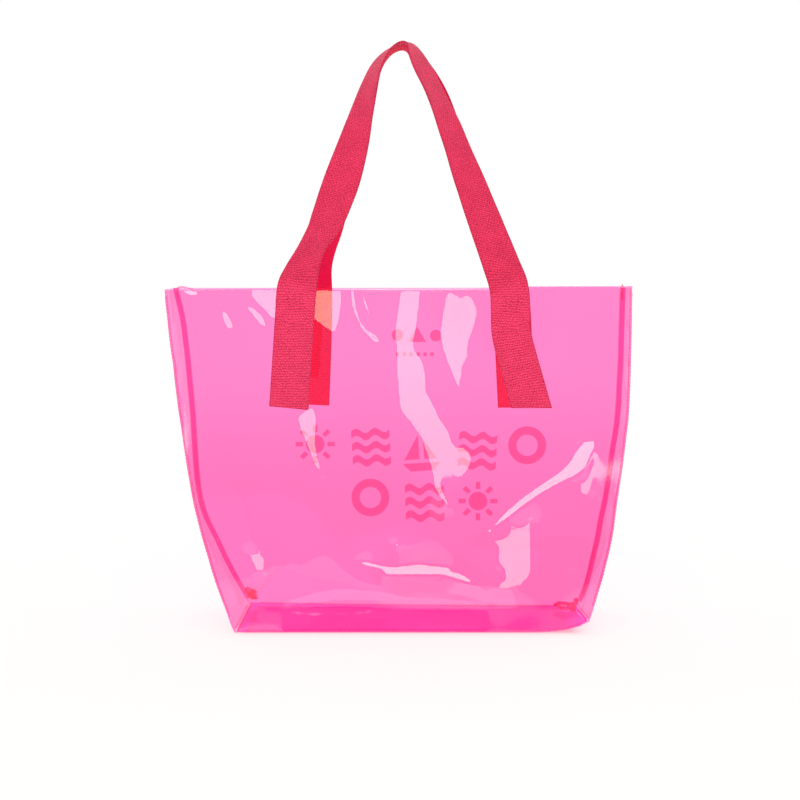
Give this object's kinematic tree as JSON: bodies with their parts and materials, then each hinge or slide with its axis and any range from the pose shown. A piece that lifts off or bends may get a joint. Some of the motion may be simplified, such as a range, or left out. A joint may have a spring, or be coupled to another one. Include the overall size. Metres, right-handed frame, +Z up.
{
  "type": "beach bag",
  "caption": "Open see-through tote bag of coloured PVC film with a flat base, tapered gussets and long twisted webbing handles on the front and the rear panel.",
  "frame": {"origin": "on the ground under the centre of the base", "axes": "+Z up; +Y towards the printed front panel, along the depth of the bag; +X along the width, to the right when the bag is seen from behind"},
  "size_m": [0.4506, 0.1502, 0.5699],
  "materials": {
    "pink_film": "glossy see-through film",
    "crimson_webbing": "woven",
    "webbing_thread": "sewing thread",
    "seam_thread": "sewing thread",
    "pink_ink": "screen-printed ink"
  },
  "bodies": {
    "bag": {"rear_panel": "pink_film", "front_panel": "pink_film", "left_gusset": "pink_film", "right_gusset": "pink_film", "base_panel": "pink_film", "rear_handle_left_end": "crimson_webbing", "rear_handle_right_end": "crimson_webbing", "front_handle_left_end": "crimson_webbing", "front_handle_right_end": "crimson_webbing", "rear_handle_left_stitching": "webbing_thread", "rear_handle_right_stitching": "webbing_thread", "front_handle_left_stitching": "webbing_thread", "front_handle_right_stitching": "webbing_thread", "rear_left_seam_thread": "seam_thread", "rear_right_seam_thread": "seam_thread", "front_left_seam_thread": "seam_thread", "front_right_seam_thread": "seam_thread", "base_rear_seam_thread": "seam_thread", "base_front_seam_thread": "seam_thread", "base_left_seam_thread": "seam_thread", "base_right_seam_thread": "seam_thread", "printed_upper_row": "pink_ink", "printed_lower_row": "pink_ink", "printed_small_mark": "pink_ink"},
    "rear_handle": {"rear_handle_loop": "crimson_webbing"},
    "front_handle": {"front_handle_loop": "crimson_webbing"}
  },
  "joints": [
    {"name": "rear_handle_swing", "type": "hinge", "parent": "bag", "child": "rear_handle", "pos_m": [0, -0.05093, 0.29904], "axis": [1, 0, 0], "range_deg": [0, 175]},
    {"name": "front_handle_swing", "type": "hinge", "parent": "bag", "child": "front_handle", "pos_m": [0, 0.05093, 0.29904], "axis": [-1, 0, 0], "range_deg": [0, 175]}
  ]
}
